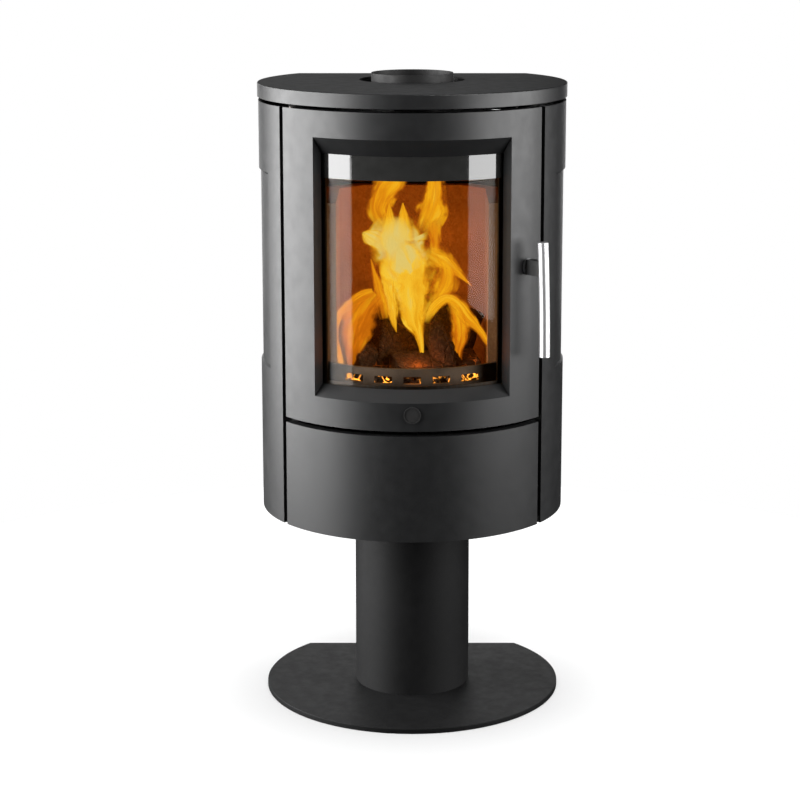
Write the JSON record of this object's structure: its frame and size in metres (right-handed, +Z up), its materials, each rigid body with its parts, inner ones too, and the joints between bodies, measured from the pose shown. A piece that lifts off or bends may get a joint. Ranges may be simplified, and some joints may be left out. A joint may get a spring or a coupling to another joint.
{
  "type": "wood burning stove",
  "caption": "Round wood burning stove on a pedestal tube, with a hinged curved glass door, turning handle, pull-out ash drawer and air control",
  "frame": {"origin": "on the pedestal tube's axis, at the underside of the base plate", "axes": "+X to the right of someone facing the door, +Y to the back, +Z up along the pedestal's axis"},
  "size_m": [0.508, 0.4224, 1.045],
  "materials": {
    "stove_paint": "satin heat-resistant dark grey paint",
    "black_steel": "matt black",
    "cast_iron": "raw casting",
    "firebrick": "pressed vermiculite board",
    "zinc_steel": "zinc plated",
    "bronze": "turned",
    "polished_steel": "polished",
    "ceramic_glass": "clear heat-resistant glass ceramic with a faint warm tint",
    "rope": "braided glass fibre"
  },
  "bodies": {
    "root": {"base_plate": "stove_paint", "foot_screws": "zinc_steel", "pedestal_tube": "stove_paint", "foot_ring": "black_steel", "head_flange": "black_steel", "head_bolts": "zinc_steel", "body_floor": "black_steel", "back_panel": "stove_paint", "rear_outlet_cover": "stove_paint", "top_plate": "stove_paint", "flue_collar": "black_steel", "top_spacers": "black_steel", "panel_standoffs": "black_steel", "inner_shell": "black_steel", "firebox_floor": "black_steel", "firebox_top": "black_steel", "door_seat": "black_steel", "hearth_brick": "firebrick", "rear_brick": "firebrick", "baffle_brick": "firebrick", "smoke_deflector": "black_steel", "air_wash_deflector": "black_steel", "rear_air_duct": "black_steel", "grate": "cast_iron", "ash_chute": "black_steel", "log_retainer": "cast_iron", "upper_hinge_bracket": "black_steel", "lower_hinge_bracket": "black_steel", "hinge_pins": "zinc_steel", "latch_keeper": "black_steel", "valve_pivot": "zinc_steel", "left_side_panel": "stove_paint", "left_side_inlay": "stove_paint", "left_brick": "firebrick", "left_drawer_runner": "black_steel", "right_side_panel": "stove_paint", "right_side_inlay": "stove_paint", "right_brick": "firebrick", "right_drawer_runner": "black_steel"},
    "door": {"door_frame": "stove_paint", "door_glass": "ceramic_glass", "glass_gasket": "rope", "door_liner": "black_steel", "glass_carrier": "black_steel", "liner_screws": "zinc_steel", "rope_seal": "rope", "round_plate": "black_steel", "hinge_bushes": "bronze", "spindle_bush": "zinc_steel"},
    "handle": {"handle_bar": "polished_steel", "handle_arm": "black_steel", "handle_spindle": "zinc_steel", "spindle_nut": "zinc_steel", "latch_cam": "zinc_steel"},
    "ash_drawer": {"drawer_front": "stove_paint", "drawer_chassis": "black_steel", "ash_pan": "zinc_steel"},
    "air_control": {"valve_disc": "zinc_steel", "air_lever": "zinc_steel", "air_knob": "black_steel"}
  },
  "joints": [
    {"name": "door_hinge", "type": "hinge", "parent": "root", "child": "door", "pos_m": [-0.19017, -0.15127, 0.755], "axis": [0, 0, -1], "range_deg": [0, 110]},
    {"name": "handle_turn", "type": "hinge", "parent": "door", "child": "handle", "pos_m": [0.18316, -0.17381, 0.755], "axis": [0.7254, -0.6884, 0], "range_deg": [0, 60]},
    {"name": "ash_drawer_slide", "type": "slide", "parent": "root", "child": "ash_drawer", "axis": [0, -1, 0], "range_m": [0, 0.18]},
    {"name": "air_lever_turn", "type": "hinge", "parent": "root", "child": "air_control", "pos_m": [0, 0, 0.3378], "axis": [0, 0, 1], "range_deg": [-15, 15]}
  ]
}
